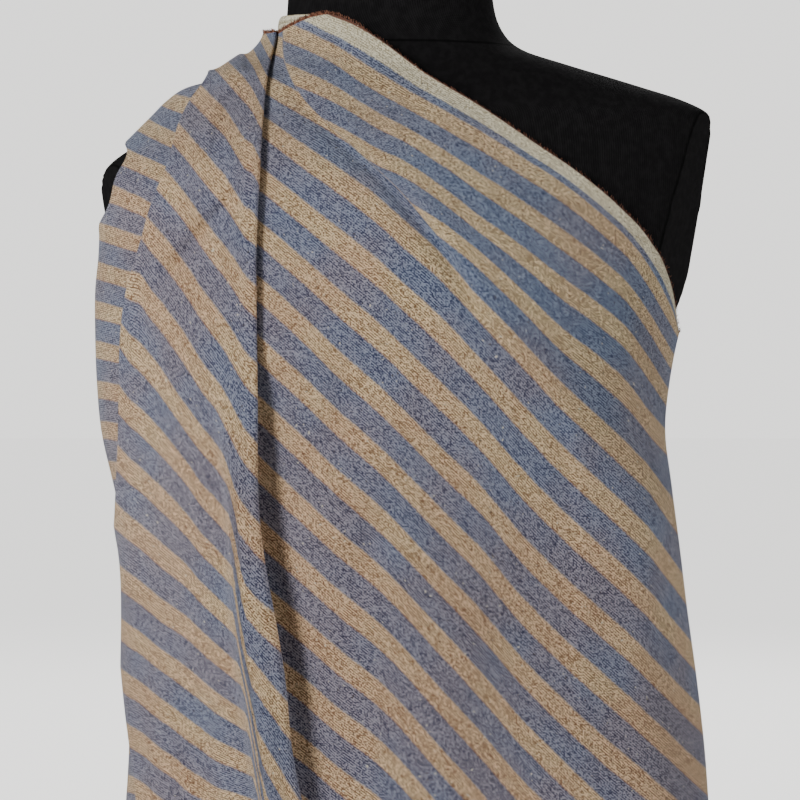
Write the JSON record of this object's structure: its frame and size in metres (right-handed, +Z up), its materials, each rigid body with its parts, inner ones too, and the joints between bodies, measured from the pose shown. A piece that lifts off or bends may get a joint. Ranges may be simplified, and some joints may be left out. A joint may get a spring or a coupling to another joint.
{
  "type": "striped linen fabric draped on a dress form",
  "caption": "Striped linen cloth draped over one shoulder of a plain black dress form, with a pleated flap and a frayed selvedge.",
  "frame": {"origin": "centre of the bounding box on the surface that the form stands on", "axes": "+Z up, the front of the form faces -Y, +X to the right as seen from the front"},
  "size_m": [0.3871, 0.2311, 0.65],
  "materials": {
    "striped_linen": "yarn-dyed linen in blue and tan stripes, slubbed plain weave, matt",
    "black_jersey": "fine black knitted jersey stretched over the form, matt"
  },
  "bodies": {
    "root": {"striped_cloth": "striped_linen", "dress_form": "black_jersey"}
  },
  "joints": []
}
